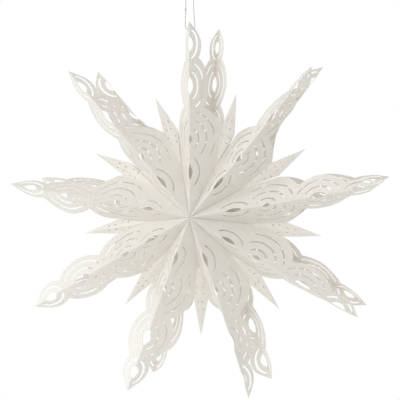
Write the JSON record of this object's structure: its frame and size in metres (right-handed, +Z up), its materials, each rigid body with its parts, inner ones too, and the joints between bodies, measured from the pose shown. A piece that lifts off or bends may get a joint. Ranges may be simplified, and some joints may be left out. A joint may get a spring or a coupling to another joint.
{
  "type": "paper advent star",
  "caption": "Hanging paper star of folded, lace-cut bags glued side by side and fanned out, with short pin-holed points between the long ones and a thread loop at the top.",
  "frame": {"origin": "top of the thread loop, where a hook holds it", "axes": "+Z up along the thread, the star's front faces -Y, +X to the viewer's right"},
  "size_m": [0.5908, 0.16, 0.6568],
  "materials": {
    "paper": "uncoated white craft paper, matt",
    "thread": "twisted cotton thread"
  },
  "bodies": {
    "root": {"large_point_1": "paper", "large_point_2": "paper", "large_point_3": "paper", "large_point_4": "paper", "large_point_5": "paper", "large_point_6": "paper", "large_point_7": "paper", "large_point_8": "paper", "large_point_9": "paper", "small_point_1": "paper", "small_point_2": "paper", "small_point_3": "paper", "small_point_4": "paper", "small_point_5": "paper", "small_point_6": "paper", "small_point_7": "paper", "small_point_8": "paper", "small_point_9": "paper", "hanging_thread": "thread"}
  },
  "joints": []
}
